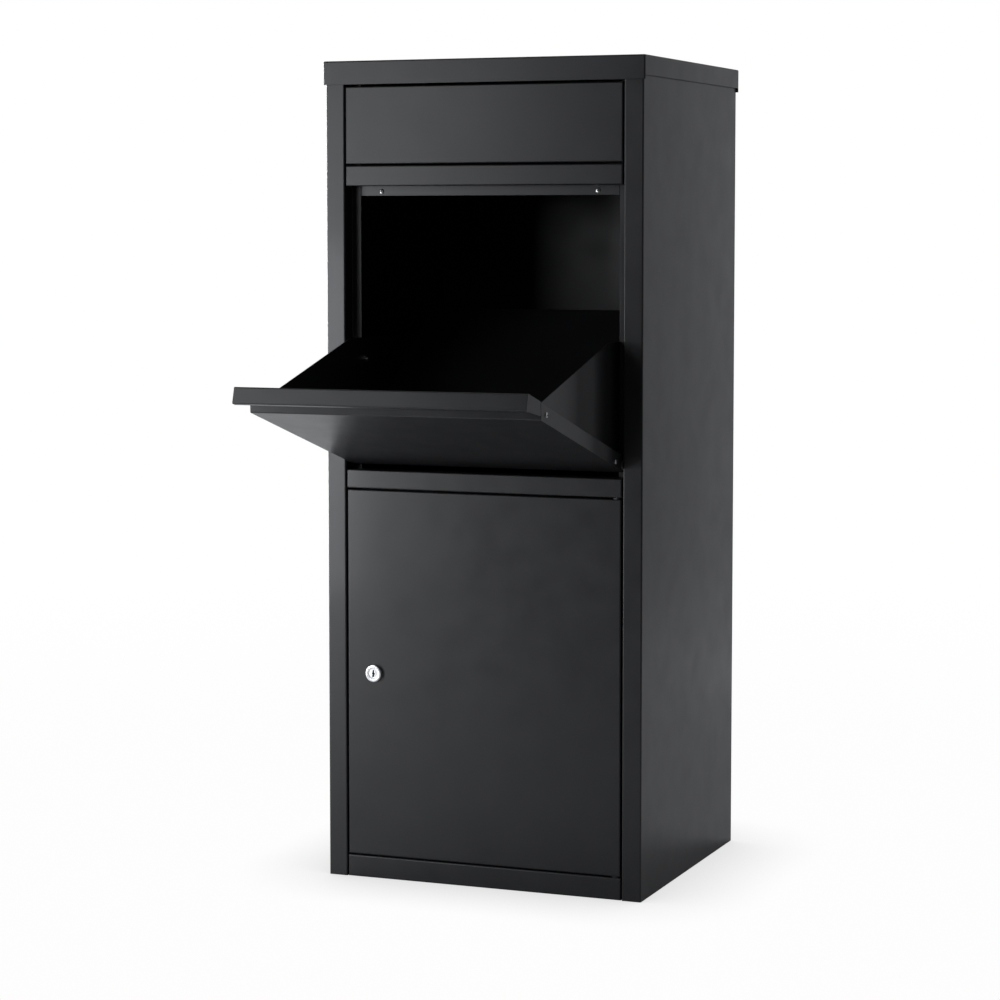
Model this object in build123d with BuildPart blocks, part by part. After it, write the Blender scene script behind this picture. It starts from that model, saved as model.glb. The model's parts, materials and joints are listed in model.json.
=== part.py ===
# Parcel drop box: a free-standing sheet-steel cabinet with a bottom-hinged hopper flap above
# a locked collection door. Millimetres, +Z up, +X to the right and +Y to the back.
# The origin is the centre of the cabinet's base, on the ground.
# Rest pose: flap open on its stops, door closed, lock turned to open.
import os
from math import cos, radians, sin

from build123d import *

os.makedirs("parts", exist_ok=True)

# ---------------------------------------------------------------- driving dimensions
BODY_W, BODY_D, HEIGHT = 415, 375, 1020  # cabinet without the cap's overhang, and full height
CAP_W, CAP_D = 420, 380
CAP_SKIRT_FRONT, CAP_SKIRT_SIDE = 29, 24
T = 1.0  # sheet thickness
BEND = 1.8  # outside radius of a bend
INNER_BEND = BEND - T

JAMB_W = 24.7  # width of a jamb beside the door and the mouth
REBATE_D = 22  # from the front plane back to the stop flanges
STOP_HALF_W = 170.5  # half the clear width between the stop flanges
REAR_FLANGE_W = 29.5

BASE_RAIL_H = 27.5
DOOR_Z = (29, 489.5)
DIVIDER_Z = (491.5, 514.5)
HEAD_RAIL_Z = (866.5, 891.5)
FASCIA_Z = (893.5, 988.5)
CROWN_Z = (992, HEIGHT - T)
HEAD_LIP_Z = 854.5  # lower edge of the lip that the flap closes against
DOOR_LIP = 12  # the door's stop lips above and below

DOOR_HALF_W, DOOR_DEPTH = 180.8, 20
FASCIA_HALF_W, RAIL_HALF_W = 181.5, 181.5
HINGE_X, HINGE_SETBACK = 174, 6  # door pivot: distance from centre, and behind the front plane
HINGE_PIN_R, HINGE_BUSH_R = 2.5, 4

FLAP_HALF_W, FLAP_DEPTH = 180, 18.5
FLAP_OPEN = 74  # degrees from upright at rest
PIVOT_SETBACK = 7  # flap pivot behind the flap's outer face
PIVOT_RISE = 15.9  # flap pivot above the divider rail
FLAP_BELOW = 13  # flap below its pivot
PANEL_TOP = 284.5  # from the pivot up to the ledge over the main panel
LIP_TOP = 332.5  # from the pivot up to the top of the finger pull
PULL_DEPTH, PULL_HEM = 19, 7
PULL_LEAN = 6.5  # the ledge behind the pull leans this far forwards over its depth
PULL_SLIT = 1.5  # between the pull's end plates and the side bands
PULL_END_RISES = (4.5, 9.5)  # rise of an end plate's lower edge, right and left
PIVOT_PIN_R, PIVOT_BUSH_R = 3.5, 5

CHEEK_OUTER = 170  # half width over the hopper's cheeks
CHEEK_CORNER = (61.5, 136.7)  # upper rear corner of a cheek, along and behind the closed flap
CHEEK_NOSE = 8  # from the ledge down to a cheek's upper front corner
TRAY_SLOPE, TRAY_LENGTH, TRAY_HEM = 38.7, 290, 10  # rear slide, below level when closed

LOCK_X, LOCK_Z = -144.5, 260
LOCK_HEAD_R, LOCK_BODY_R, PLUG_R = 10.5, 8.9, 6.2
CAM_REACH, CAM_W, CAM_T = 38, 16, 2

RUNNING = 0.05  # radial clearance of a pin in its bush
FRONT = -BODY_D / 2
BACK = BODY_D / 2
SIDE = BODY_W / 2
JAMB = SIDE - JAMB_W  # half the clear width between the jambs
STOP = FRONT + REBATE_D  # front face of the stop flanges
TOP_UNDERSIDE = HEIGHT - T

PIVOT_Y = FRONT + PIVOT_SETBACK
PIVOT_Z = DIVIDER_Z[1] + PIVOT_RISE

BUMPER_R = 4
BUMPER_GAP = 0.5  # left between a bumper and the closed door or flap
DOOR_BUMPER_T = REBATE_D - DOOR_DEPTH - BUMPER_GAP
FLAP_BUMPER_T = REBATE_D - FLAP_DEPTH - BUMPER_GAP
BUMPER_X, BUMPER_ROUND = 178, 0.5
FLAP_BUMPER_BELOW, FLAP_BUMPER_ABOVE = 190, 60  # from the upper rail, and from the pivot
DOOR_BUMPER_INSET = 50

SCREW_SHANK_R, SCREW_HEAD_R, SCREW_HEAD_H, SCREW_ROUND = 1.9, 3.1, 1.5, 0.9
NUT_R, NUT_H = 4.1, 3
RIVET_SHANK_R, RIVET_HEAD_R, RIVET_TAIL_R, RIVET_HEAD_H, RIVET_ROUND = 1.6, 3.25, 2.4, 1.2, 0.8
HOLE_EASE = 0.1

SIDES = ((-1, "left"), (1, "right"))
ALONG_X, ALONG_Y = (0, 90, 0), (90, 0, 0)  # rotations that lay a cylinder along an axis


def save(part, name):
    """Label a finished piece and write it as its own file."""
    part.label = name
    export_step(part, f"parts/{name}.step")


def flap_plane(x=0):
    """Plane of the flap's cross-section at x: local x runs up the flap, local y inwards."""
    tilt = radians(FLAP_OPEN)
    return Plane(origin=(x, PIVOT_Y, PIVOT_Z), x_dir=(0, -sin(tilt), cos(tilt)), z_dir=(-1, 0, 0))


# ---------------------------------------------------------------- cabinet shell
RIVET_X = SIDE - 14
RIVET_FIRST, RIVET_PITCH, RIVET_COUNT = 60, 150, 7
RIVET_Z = [RIVET_FIRST + RIVET_PITCH * i for i in range(RIVET_COUNT)]
BACK_SKIN = BACK - T  # outer face of the rear flanges, which carry the back panel

for side, hand in SIDES:
    with BuildPart() as side_panel:
        with BuildSketch(Plane.XY):
            with BuildLine():
                FilletPolyline(
                    (side * STOP_HALF_W, STOP),
                    (side * JAMB, STOP),
                    (side * JAMB, FRONT),
                    (side * SIDE, FRONT),
                    (side * SIDE, BACK_SKIN),
                    (side * (SIDE - REAR_FLANGE_W), BACK_SKIN),
                    radius=(INNER_BEND, BEND, BEND, BEND),
                )
                offset(amount=T, side=Side.LEFT if side > 0 else Side.RIGHT)
            make_face()
        extrude(amount=TOP_UNDERSIDE)
        with Locations((side * (JAMB + T / 2), PIVOT_Y, PIVOT_Z)):
            Cylinder(PIVOT_PIN_R + HOLE_EASE, 2 * T, rotation=ALONG_X, mode=Mode.SUBTRACT)
        with Locations([(side * RIVET_X, BACK_SKIN - T / 2, z) for z in RIVET_Z]):
            Cylinder(RIVET_SHANK_R + HOLE_EASE, 2 * T, rotation=ALONG_Y, mode=Mode.SUBTRACT)
    save(side_panel.part, f"{hand}_side_panel")

BACK_PANEL_HALF_W = SIDE - BEND
with BuildPart() as back_panel:
    with BuildSketch(Plane.XZ.offset(-BACK)):
        with Locations((0, TOP_UNDERSIDE / 2)):
            Rectangle(2 * BACK_PANEL_HALF_W, TOP_UNDERSIDE)
    extrude(amount=T)
    with Locations([(s * RIVET_X, BACK - T / 2, z) for s, _ in SIDES for z in RIVET_Z]):
        Cylinder(RIVET_SHANK_R + HOLE_EASE, 2 * T, rotation=ALONG_Y, mode=Mode.SUBTRACT)
save(back_panel.part, "back_panel")

with BuildPart() as back_rivets:
    rivet_places = [(s * RIVET_X, z) for s, _ in SIDES for z in RIVET_Z]
    with Locations([(x, BACK + RIVET_HEAD_H / 2, z) for x, z in rivet_places]):
        Cylinder(RIVET_HEAD_R, RIVET_HEAD_H, rotation=ALONG_Y)
    outer_rims = back_rivets.edges().filter_by(GeomType.CIRCLE).group_by(Axis.Y)[-1]
    fillet(outer_rims, radius=RIVET_ROUND)
    with Locations([(x, BACK - T, z) for x, z in rivet_places]):
        Cylinder(RIVET_SHANK_R, 2 * T, rotation=ALONG_Y)
    with Locations([(x, BACK_SKIN - T - RIVET_HEAD_H / 2, z) for x, z in rivet_places]):
        Cylinder(RIVET_TAIL_R, RIVET_HEAD_H, rotation=ALONG_Y)
save(back_rivets.part, "back_rivets")

BASE_FLANGE = 20
ANCHOR_R, ANCHOR_X, ANCHOR_Y = 5, 300, 250
BASE_FRONT, BASE_BACK = STOP + T, BACK_SKIN - T
BASE_HALF_W = SIDE - T
with BuildPart() as base_panel:
    with Locations((0, (BASE_FRONT + BASE_BACK) / 2, BASE_FLANGE / 2)):
        Box(2 * BASE_HALF_W, BASE_BACK - BASE_FRONT, BASE_FLANGE)
    fillet(base_panel.edges().filter_by(Axis.Z), radius=BEND)
    fillet(base_panel.edges().group_by(Axis.Z)[0], radius=BEND)
    offset(amount=-T, openings=base_panel.faces().sort_by(Axis.Z)[-1])
    with GridLocations(ANCHOR_X, ANCHOR_Y, 2, 2):
        Cylinder(ANCHOR_R, 4 * T, mode=Mode.SUBTRACT)
save(base_panel.part, "base_panel")

with BuildPart() as top_cap:
    with Locations((0, 0, HEIGHT - CAP_SKIRT_FRONT / 2)):
        Box(CAP_W, CAP_D, CAP_SKIRT_FRONT)
    fillet(top_cap.edges().filter_by(Axis.Z), radius=BEND)
    fillet(top_cap.edges().group_by(Axis.Z)[-1], radius=BEND)
    offset(amount=-T, openings=top_cap.faces().sort_by(Axis.Z)[0])
    step_h = CAP_SKIRT_FRONT - CAP_SKIRT_SIDE
    with Locations([(s * CAP_W / 2, 0, HEIGHT - CAP_SKIRT_FRONT + step_h / 2) for s, _ in SIDES]):
        Box(4 * T, CAP_D - 2 * BEND, step_h, mode=Mode.SUBTRACT)
save(top_cap.part, "top_cap")

BRACKET, BRACKET_INSET = 30, 60
with BuildPart() as corner_brackets:
    for s, _ in SIDES:
        for y in (FRONT + BRACKET_INSET, BACK - BRACKET_INSET):
            with Locations((s * (SIDE - T - T / 2), y, TOP_UNDERSIDE - BRACKET / 2)):
                Box(T, BRACKET, BRACKET)
            with Locations((s * (SIDE - T - BRACKET / 2), y, TOP_UNDERSIDE - T / 2)):
                Box(BRACKET, BRACKET, T)
save(corner_brackets.part, "corner_brackets")

# ---------------------------------------------------------------- front rails and fascia
def pan(builder, half_w, depth, z_low, z_high):
    """Add a sheet pan to the builder: rounded front edges, open at the back."""
    with Locations((0, FRONT + depth / 2, (z_low + z_high) / 2)):
        Box(2 * half_w, depth, z_high - z_low)
    fillet(builder.edges().group_by(Axis.Y)[0], radius=BEND)
    offset(amount=-T, openings=builder.faces().sort_by(Axis.Y)[-1])


LIP_HALF_W = STOP_HALF_W - 0.5
HEADER_SCREW_X, HEADER_SCREW_Z = 142.4, 859.8

with BuildPart() as bottom_rail:
    pan(bottom_rail, RAIL_HALF_W, REBATE_D, 0, BASE_RAIL_H)
    with Locations((0, STOP + T / 2, BASE_RAIL_H - T + (DOOR_LIP + T) / 2)):
        Box(2 * LIP_HALF_W, T, DOOR_LIP + T)
    with Locations((HINGE_X, FRONT + HINGE_SETBACK, BASE_RAIL_H)):
        Cylinder(HINGE_PIN_R + HOLE_EASE, 4 * T, mode=Mode.SUBTRACT)
save(bottom_rail.part, "bottom_rail")

with BuildPart() as divider_rail:
    pan(divider_rail, RAIL_HALF_W, REBATE_D, *DIVIDER_Z)
    with Locations((0, STOP + T / 2, DIVIDER_Z[0] + T - (DOOR_LIP + T) / 2)):
        Box(2 * LIP_HALF_W, T, DOOR_LIP + T)
    with Locations((HINGE_X, FRONT + HINGE_SETBACK, DIVIDER_Z[0])):
        Cylinder(HINGE_PIN_R + HOLE_EASE, 4 * T, mode=Mode.SUBTRACT)
save(divider_rail.part, "divider_rail")

with BuildPart() as upper_rail:
    pan(upper_rail, RAIL_HALF_W, REBATE_D, *HEAD_RAIL_Z)
    lip_top = HEAD_RAIL_Z[0] + T
    with Locations((0, STOP + T / 2, (HEAD_LIP_Z + lip_top) / 2)):
        Box(2 * LIP_HALF_W, T, lip_top - HEAD_LIP_Z)
    with Locations([(s * HEADER_SCREW_X, STOP + T / 2, HEADER_SCREW_Z) for s, _ in SIDES]):
        Cylinder(SCREW_SHANK_R + HOLE_EASE, 2 * T, rotation=ALONG_Y, mode=Mode.SUBTRACT)
save(upper_rail.part, "upper_rail")

with BuildPart() as fascia_panel:
    pan(fascia_panel, FASCIA_HALF_W, REBATE_D, *FASCIA_Z)
save(fascia_panel.part, "fascia_panel")

with BuildPart() as crown_rail:
    pan(crown_rail, RAIL_HALF_W, REBATE_D, *CROWN_Z)
save(crown_rail.part, "crown_rail")

# Header: an angle behind the upper rail's lip that closes the space above the mouth.
HEADER_DEPTH, HEADER_TOP, HEADER_RAISED = 45, HEAD_RAIL_Z[1], 0.4
with BuildPart() as header_angle:
    with BuildSketch(Plane.YZ.offset(-LIP_HALF_W)):
        with BuildLine():
            FilletPolyline(
                (STOP + T, HEAD_LIP_Z + HEADER_RAISED),
                (STOP + T, HEADER_TOP),
                (STOP + T + HEADER_DEPTH, HEADER_TOP),
                radius=BEND,
            )
            offset(amount=T, side=Side.RIGHT)
        make_face()
    extrude(amount=2 * LIP_HALF_W)
    with Locations([(s * HEADER_SCREW_X, STOP + 1.5 * T, HEADER_SCREW_Z) for s, _ in SIDES]):
        Cylinder(SCREW_SHANK_R + HOLE_EASE, 2 * T, rotation=ALONG_Y, mode=Mode.SUBTRACT)
save(header_angle.part, "header_angle")

header_stack = 2 * T + NUT_H
with BuildPart() as header_screws:
    with Locations([(s * HEADER_SCREW_X, STOP - SCREW_HEAD_H / 2, HEADER_SCREW_Z) for s, _ in SIDES]):
        Cylinder(SCREW_HEAD_R, SCREW_HEAD_H, rotation=ALONG_Y)
    fillet(header_screws.edges().filter_by(GeomType.CIRCLE).group_by(Axis.Y)[0], radius=SCREW_ROUND)
    with Locations([(s * HEADER_SCREW_X, STOP + header_stack / 2, HEADER_SCREW_Z) for s, _ in SIDES]):
        Cylinder(SCREW_SHANK_R, header_stack, rotation=ALONG_Y)
save(header_screws.part, "header_screws")

with BuildPart() as header_nuts:
    with BuildSketch(Plane.XZ.offset(-(STOP + 2 * T))):
        with Locations([(s * HEADER_SCREW_X, HEADER_SCREW_Z) for s, _ in SIDES]):
            RegularPolygon(NUT_R, 6)
            Circle(SCREW_SHANK_R + HOLE_EASE, mode=Mode.SUBTRACT)
    extrude(amount=-NUT_H)
save(header_nuts.part, "header_nuts")

# ---------------------------------------------------------------- rubber bumpers
with BuildPart() as flap_bumpers:
    bumper_z = (HEAD_RAIL_Z[0] - FLAP_BUMPER_BELOW, PIVOT_Z + FLAP_BUMPER_ABOVE)
    with Locations([(s * BUMPER_X, STOP - FLAP_BUMPER_T / 2, z) for s, _ in SIDES for z in bumper_z]):
        Cylinder(BUMPER_R, FLAP_BUMPER_T, rotation=ALONG_Y)
    fillet(flap_bumpers.edges().filter_by(GeomType.CIRCLE).group_by(Axis.Y)[0], radius=BUMPER_ROUND)
save(flap_bumpers.part, "flap_bumpers")

with BuildPart() as door_bumpers:
    bumper_z = (DOOR_Z[0] + DOOR_BUMPER_INSET, DOOR_Z[1] - DOOR_BUMPER_INSET)
    with Locations([(-BUMPER_X, STOP - DOOR_BUMPER_T / 2, z) for z in bumper_z]):
        Cylinder(BUMPER_R, DOOR_BUMPER_T, rotation=ALONG_Y)
    fillet(door_bumpers.edges().filter_by(GeomType.CIRCLE).group_by(Axis.Y)[0], radius=BUMPER_ROUND)
save(door_bumpers.part, "door_bumpers")

# ---------------------------------------------------------------- collection door
LOCK_HOLE_R = LOCK_BODY_R + HOLE_EASE
with BuildPart() as door_panel:
    pan(door_panel, DOOR_HALF_W, DOOR_DEPTH, *DOOR_Z)
    with Locations((LOCK_X, FRONT, LOCK_Z)):
        Cylinder(LOCK_HOLE_R, 4 * T, rotation=ALONG_Y, mode=Mode.SUBTRACT)
    with Locations([(HINGE_X, FRONT + HINGE_SETBACK, z) for z in DOOR_Z]):
        Cylinder(HINGE_BUSH_R, 4 * T, mode=Mode.SUBTRACT)
save(door_panel.part, "door_panel")

STIFFENER_W, STIFFENER_D, STIFFENER_WING = 50, 12, 14
with BuildPart() as door_stiffener:
    hat_front = FRONT + T
    hat = (
        (-STIFFENER_W / 2 - STIFFENER_WING, hat_front),
        (-STIFFENER_W / 2, hat_front),
        (-STIFFENER_W / 2, hat_front + STIFFENER_D),
        (STIFFENER_W / 2, hat_front + STIFFENER_D),
        (STIFFENER_W / 2, hat_front),
        (STIFFENER_W / 2 + STIFFENER_WING, hat_front),
    )
    with BuildSketch(Plane.XY.offset(DOOR_Z[0] + 3 * T)):
        with BuildLine():
            FilletPolyline(*hat, radius=BEND)
            offset(amount=T, side=Side.LEFT)
        make_face()
    extrude(amount=DOOR_Z[1] - DOOR_Z[0] - 6 * T)
save(door_stiffener.part, "door_stiffener")

# Pivot pins stand in the rails and turn in flanged bushes in the door's edges.
PIN_HEAD_R, PIN_HEAD_H, PIN_REACH = 4, 2, 12
BUSH_FLANGE_R, HINGE_PLAY = 5.4, 0.4
lower_gap = DOOR_Z[0] - BASE_RAIL_H
upper_gap = DIVIDER_Z[0] - DOOR_Z[1]
hinge_y = FRONT + HINGE_SETBACK

with BuildPart() as door_hinge_pins:
    low_root, high_root = BASE_RAIL_H - T, DIVIDER_Z[0] + T
    for root, inward in ((low_root, 1), (high_root, -1)):
        with Locations((HINGE_X, hinge_y, root - inward * PIN_HEAD_H / 2)):
            Cylinder(PIN_HEAD_R, PIN_HEAD_H)
        with Locations((HINGE_X, hinge_y, root + inward * PIN_REACH / 2)):
            Cylinder(HINGE_PIN_R, PIN_REACH)
save(door_hinge_pins.part, "door_hinge_pins")

BUSH_DEPTH = 6
with BuildPart() as door_hinge_bushes:
    for edge, inward, gap in ((DOOR_Z[0], 1, lower_gap), (DOOR_Z[1], -1, upper_gap)):
        flange_h = gap - HINGE_PLAY
        with Locations((HINGE_X, hinge_y, edge - inward * flange_h / 2)):
            Cylinder(BUSH_FLANGE_R, flange_h)
        with Locations((HINGE_X, hinge_y, edge + inward * BUSH_DEPTH / 2)):
            Cylinder(HINGE_BUSH_R, BUSH_DEPTH)
        with Locations((HINGE_X, hinge_y, edge)):
            Cylinder(HINGE_PIN_R + RUNNING, 4 * BUSH_DEPTH, mode=Mode.SUBTRACT)
save(door_hinge_bushes.part, "door_hinge_bushes")

# ---------------------------------------------------------------- cam lock
LOCK_PROUD, LOCK_BODY_END, LOCK_ROUND = 5, 19, 0.8
PLUG_RECESS, PLUG_TAIL_R, PLUG_SHOULDER_R = 0.8, 3.5, 5.5
KEYWAY_H, KEYWAY_W, KEYWAY_DEPTH = 8.6, 2.2, 14
CAM_GAP = 0.5
CAM_FACE = STOP + T + CAM_GAP  # front face of the cam, just behind the stop flange

lock_front = FRONT - LOCK_PROUD
lock_back = FRONT + LOCK_BODY_END
with BuildPart() as lock_housing:
    with BuildSketch(Plane.XZ.offset(-FRONT)):
        with Locations((LOCK_X, LOCK_Z)):
            Circle(LOCK_HEAD_R)
    extrude(amount=LOCK_PROUD)
    rim = lock_housing.edges().filter_by(GeomType.CIRCLE).group_by(Axis.Y)[0]
    fillet(rim, radius=LOCK_ROUND)
    with BuildSketch(Plane.XZ.offset(-FRONT)):
        with Locations((LOCK_X, LOCK_Z)):
            Circle(LOCK_BODY_R)
    extrude(amount=-LOCK_BODY_END)
    with Locations((LOCK_X, (lock_front + lock_back) / 2, LOCK_Z)):
        Cylinder(PLUG_R + RUNNING, 2 * (LOCK_PROUD + LOCK_BODY_END), rotation=ALONG_Y, mode=Mode.SUBTRACT)
save(lock_housing.part, "lock_housing")

LOCK_NUT_R, LOCK_NUT_H, LOCK_NUT_BEVEL = 13.5, 4.5, 0.6
with BuildPart() as lock_nut:
    with BuildSketch(Plane.XZ.offset(-(FRONT + T))):
        with Locations((LOCK_X, LOCK_Z)):
            RegularPolygon(LOCK_NUT_R, 6)
            Circle(LOCK_BODY_R + HOLE_EASE, mode=Mode.SUBTRACT)
    extrude(amount=-LOCK_NUT_H)
    chamfer(lock_nut.edges().filter_by(GeomType.LINE).group_by(Axis.Y)[-1], length=LOCK_NUT_BEVEL)
save(lock_nut.part, "lock_nut")

plug_front = lock_front + PLUG_RECESS
with BuildPart() as lock_plug:
    with BuildSketch(Plane.XZ.offset(-plug_front)):
        with Locations((LOCK_X, LOCK_Z)):
            Circle(PLUG_R)
    extrude(amount=-(lock_back - plug_front))
    with BuildSketch(Plane.XZ.offset(-lock_back)):
        with Locations((LOCK_X, LOCK_Z)):
            Circle(PLUG_TAIL_R)
    extrude(amount=-(CAM_FACE + CAM_T - lock_back))
    with BuildSketch(Plane.XZ.offset(-lock_back)):
        with Locations((LOCK_X, LOCK_Z)):
            Circle(PLUG_SHOULDER_R)
    extrude(amount=-(CAM_FACE - lock_back))
    with Locations((LOCK_X, plug_front + KEYWAY_DEPTH / 2, LOCK_Z)):
        Box(KEYWAY_W, KEYWAY_DEPTH, KEYWAY_H, mode=Mode.SUBTRACT)
save(lock_plug.part, "lock_plug")

with BuildPart() as lock_cam:
    with BuildSketch(Plane.XZ.offset(-CAM_FACE)):
        with Locations((LOCK_X, LOCK_Z + (CAM_REACH - CAM_W / 2) / 2)):
            SlotOverall(CAM_REACH + CAM_W / 2, CAM_W, rotation=90)
        with Locations((LOCK_X, LOCK_Z)):
            Circle(PLUG_TAIL_R + HOLE_EASE, mode=Mode.SUBTRACT)
    extrude(amount=-CAM_T)
save(lock_cam.part, "lock_cam")

CAM_SCREW_R, CAM_SCREW_H, CAM_SCREW_ROUND = 5.5, 2.5, 0.8
with BuildPart() as cam_screw:
    with Locations((LOCK_X, CAM_FACE + CAM_T + CAM_SCREW_H / 2, LOCK_Z)):
        Cylinder(CAM_SCREW_R, CAM_SCREW_H, rotation=ALONG_Y)
    fillet(cam_screw.edges().filter_by(GeomType.CIRCLE).group_by(Axis.Y)[-1], radius=CAM_SCREW_ROUND)
save(cam_screw.part, "cam_screw")

# ---------------------------------------------------------------- hopper flap
# Local coordinates of flap_plane: (along the flap from the pivot, inwards from the pivot).
OUTER = -PIVOT_SETBACK  # the flap's outer face
BAND = OUTER + FLAP_DEPTH  # rear edge of the flap's side bands
PULL_FACE = OUTER + PULL_DEPTH
LEDGE_TOP = PANEL_TOP + PULL_LEAN  # where the leaning ledge meets the pull's web
LEDGE_BAND = PANEL_TOP + PULL_LEAN * FLAP_DEPTH / PULL_DEPTH  # the ledge at the depth of the bands
CORNER_R, HEEL, HEEL_BEND = 4.5, 9, 4
FACE_RETURN = 11  # the face's lower edge turns in this far
CHEEK_SCREWS = ((270.1, 2.5), (25.7, -1))

with BuildPart() as flap_panel:
    with BuildSketch(flap_plane(FLAP_HALF_W)):
        with BuildLine():
            FilletPolyline(
                (-FLAP_BELOW, OUTER + FACE_RETURN),
                (-FLAP_BELOW, OUTER),
                (PANEL_TOP, OUTER),
                (LEDGE_TOP, PULL_FACE),
                (LIP_TOP - T, PULL_FACE),
                (LIP_TOP - T, OUTER + T),
                (LIP_TOP - PULL_HEM, OUTER + T),
                radius=(CORNER_R, BEND, INNER_BEND, INNER_BEND, INNER_BEND),
            )
            offset(amount=T, side=Side.LEFT)
        make_face()
    extrude(amount=2 * FLAP_HALF_W)
    for x, rise in zip((FLAP_HALF_W, -FLAP_HALF_W + T), PULL_END_RISES):
        with BuildSketch(flap_plane(x)):
            with BuildLine():
                FilletPolyline(
                    (-FLAP_BELOW, OUTER),
                    (PANEL_TOP, OUTER),
                    (LEDGE_BAND, BAND),
                    (-FLAP_BELOW + HEEL, BAND),
                    (-FLAP_BELOW, BAND - HEEL),
                    close=True,
                    radius=(CORNER_R, BEND, INNER_BEND, HEEL_BEND, HEEL_BEND),
                )
            make_face()
            with Locations((0, 0)):
                Circle(PIVOT_BUSH_R, mode=Mode.SUBTRACT)
            with Locations(*CHEEK_SCREWS):
                Circle(SCREW_SHANK_R + HOLE_EASE, mode=Mode.SUBTRACT)
        extrude(amount=T)
        with BuildSketch(flap_plane(x)):
            with BuildLine():
                FilletPolyline(
                    (PANEL_TOP + PULL_LEAN * rise / PULL_DEPTH + PULL_SLIT, OUTER + rise),
                    (LIP_TOP, OUTER),
                    (LIP_TOP, PULL_FACE + T),
                    (LEDGE_TOP + PULL_SLIT, PULL_FACE + T),
                    close=True,
                    radius=(INNER_BEND, BEND, BEND, INNER_BEND),
                )
            make_face()
        extrude(amount=T)
save(flap_panel.part, "flap_panel")

# Tray: floor behind the flap's panel, bent up into the slide at the rear.
slope = radians(TRAY_SLOPE)
TRAY_HALF_W = CHEEK_OUTER - T
TRAY_START = LEDGE_BAND - BEND  # the floor's front edge, just behind the ledge
TRAY_BEND = (2, BAND)  # where the floor meets the slide
TRAY_BEND_R = 6
TRAY_END = (TRAY_BEND[0] - TRAY_LENGTH * sin(slope), TRAY_BEND[1] + TRAY_LENGTH * cos(slope))
TRAY_HEM_END = (TRAY_END[0] - TRAY_HEM * cos(slope), TRAY_END[1] - TRAY_HEM * sin(slope))
with BuildPart() as hopper_tray:
    with BuildSketch(flap_plane(TRAY_HALF_W)):
        with BuildLine():
            FilletPolyline((TRAY_START, BAND), TRAY_BEND, TRAY_END, TRAY_HEM_END, radius=(TRAY_BEND_R, BEND))
            offset(amount=T, side=Side.LEFT)
        make_face()
    extrude(amount=2 * TRAY_HALF_W)
save(hopper_tray.part, "hopper_tray")

# Cheeks: the side walls of the hopper, with a joggled flange inside the flap's side bands.
tilt = radians(FLAP_OPEN)
under_bend = (TRAY_BEND[0] - T, TRAY_BEND[1] - T)
# The rear edge of a cheek is level in the open pose and ends on the underside of the slide.
edge_run = (under_bend[0] - CHEEK_CORNER[0]) * cos(slope) + (under_bend[1] - CHEEK_CORNER[1]) * sin(slope)
edge_run /= cos(tilt) * sin(slope) - sin(tilt) * cos(slope)
CHEEK_REAR = (CHEEK_CORNER[0] - edge_run * sin(tilt), CHEEK_CORNER[1] + edge_run * cos(tilt))
CHEEK_TIP = (PANEL_TOP - CHEEK_NOSE, BAND - T)
CHEEK_ROUNDS = (2, 6, 4, 3)
FLANGE_Z = (19, PANEL_TOP - 2 * T)  # run of a cheek's flange along the flap
FLANGE_MIDDLE, FLANGE_LENGTH = sum(FLANGE_Z) / 2, FLANGE_Z[1] - FLANGE_Z[0]
STOP_BLOCK = (13.5, 122)  # bolt centre of the stop block
BOLT_R = 2.5

for side, hand in SIDES:
    outer_x = side * CHEEK_OUTER if side > 0 else side * (CHEEK_OUTER - T)
    band_inner = FLAP_HALF_W - T
    with BuildPart() as cheek:
        with BuildSketch(flap_plane(outer_x)):
            with BuildLine():
                FilletPolyline(
                    CHEEK_TIP, CHEEK_CORNER, CHEEK_REAR, under_bend, close=True, radius=CHEEK_ROUNDS
                )
            make_face()
            with Locations(STOP_BLOCK):
                Circle(BOLT_R + HOLE_EASE, mode=Mode.SUBTRACT)
        extrude(amount=T)
        ledge_x = side * band_inner if side > 0 else side * (CHEEK_OUTER - T)
        with BuildSketch(flap_plane(ledge_x)):
            with Locations((FLANGE_MIDDLE, BAND - T / 2)):
                Rectangle(FLANGE_LENGTH, T)
        extrude(amount=band_inner - CHEEK_OUTER + T)
        flange_x = side * band_inner if side > 0 else side * (band_inner - T)
        with BuildSketch(flap_plane(flange_x)):
            with Locations((FLANGE_MIDDLE, (BAND + OUTER + BEND) / 2)):
                Rectangle(FLANGE_LENGTH, BAND - OUTER - BEND)
            with Locations(*CHEEK_SCREWS):
                Circle(SCREW_SHANK_R + HOLE_EASE, mode=Mode.SUBTRACT)
        extrude(amount=T)
    save(cheek.part, f"{hand}_cheek")

def flap_point(x, spot):
    """Place of a point of the flap's cross-section at x, in the cabinet's frame at rest."""
    return flap_plane(x).from_local_coords((*spot, 0))


def row_of_cylinders(radius, inner_x, outer_x, spots):
    """Cylinders along X at each spot of the flap's section, on both sides of the flap."""
    middle, length = (inner_x + outer_x) / 2, outer_x - inner_x
    with Locations([flap_point(s * middle, spot) for s, _ in SIDES for spot in spots]):
        Cylinder(radius, length, rotation=ALONG_X)


nut_outer = FLAP_HALF_W - 2 * T
with BuildPart() as cheek_screws:
    row_of_cylinders(SCREW_HEAD_R, FLAP_HALF_W, FLAP_HALF_W + SCREW_HEAD_H, CHEEK_SCREWS)
    head_rims = cheek_screws.edges().filter_by(GeomType.CIRCLE).group_by(Axis.X)
    fillet(head_rims[0] + head_rims[-1], radius=SCREW_ROUND)
    row_of_cylinders(SCREW_SHANK_R, nut_outer - NUT_H, FLAP_HALF_W, CHEEK_SCREWS)
save(cheek_screws.part, "cheek_screws")

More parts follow.
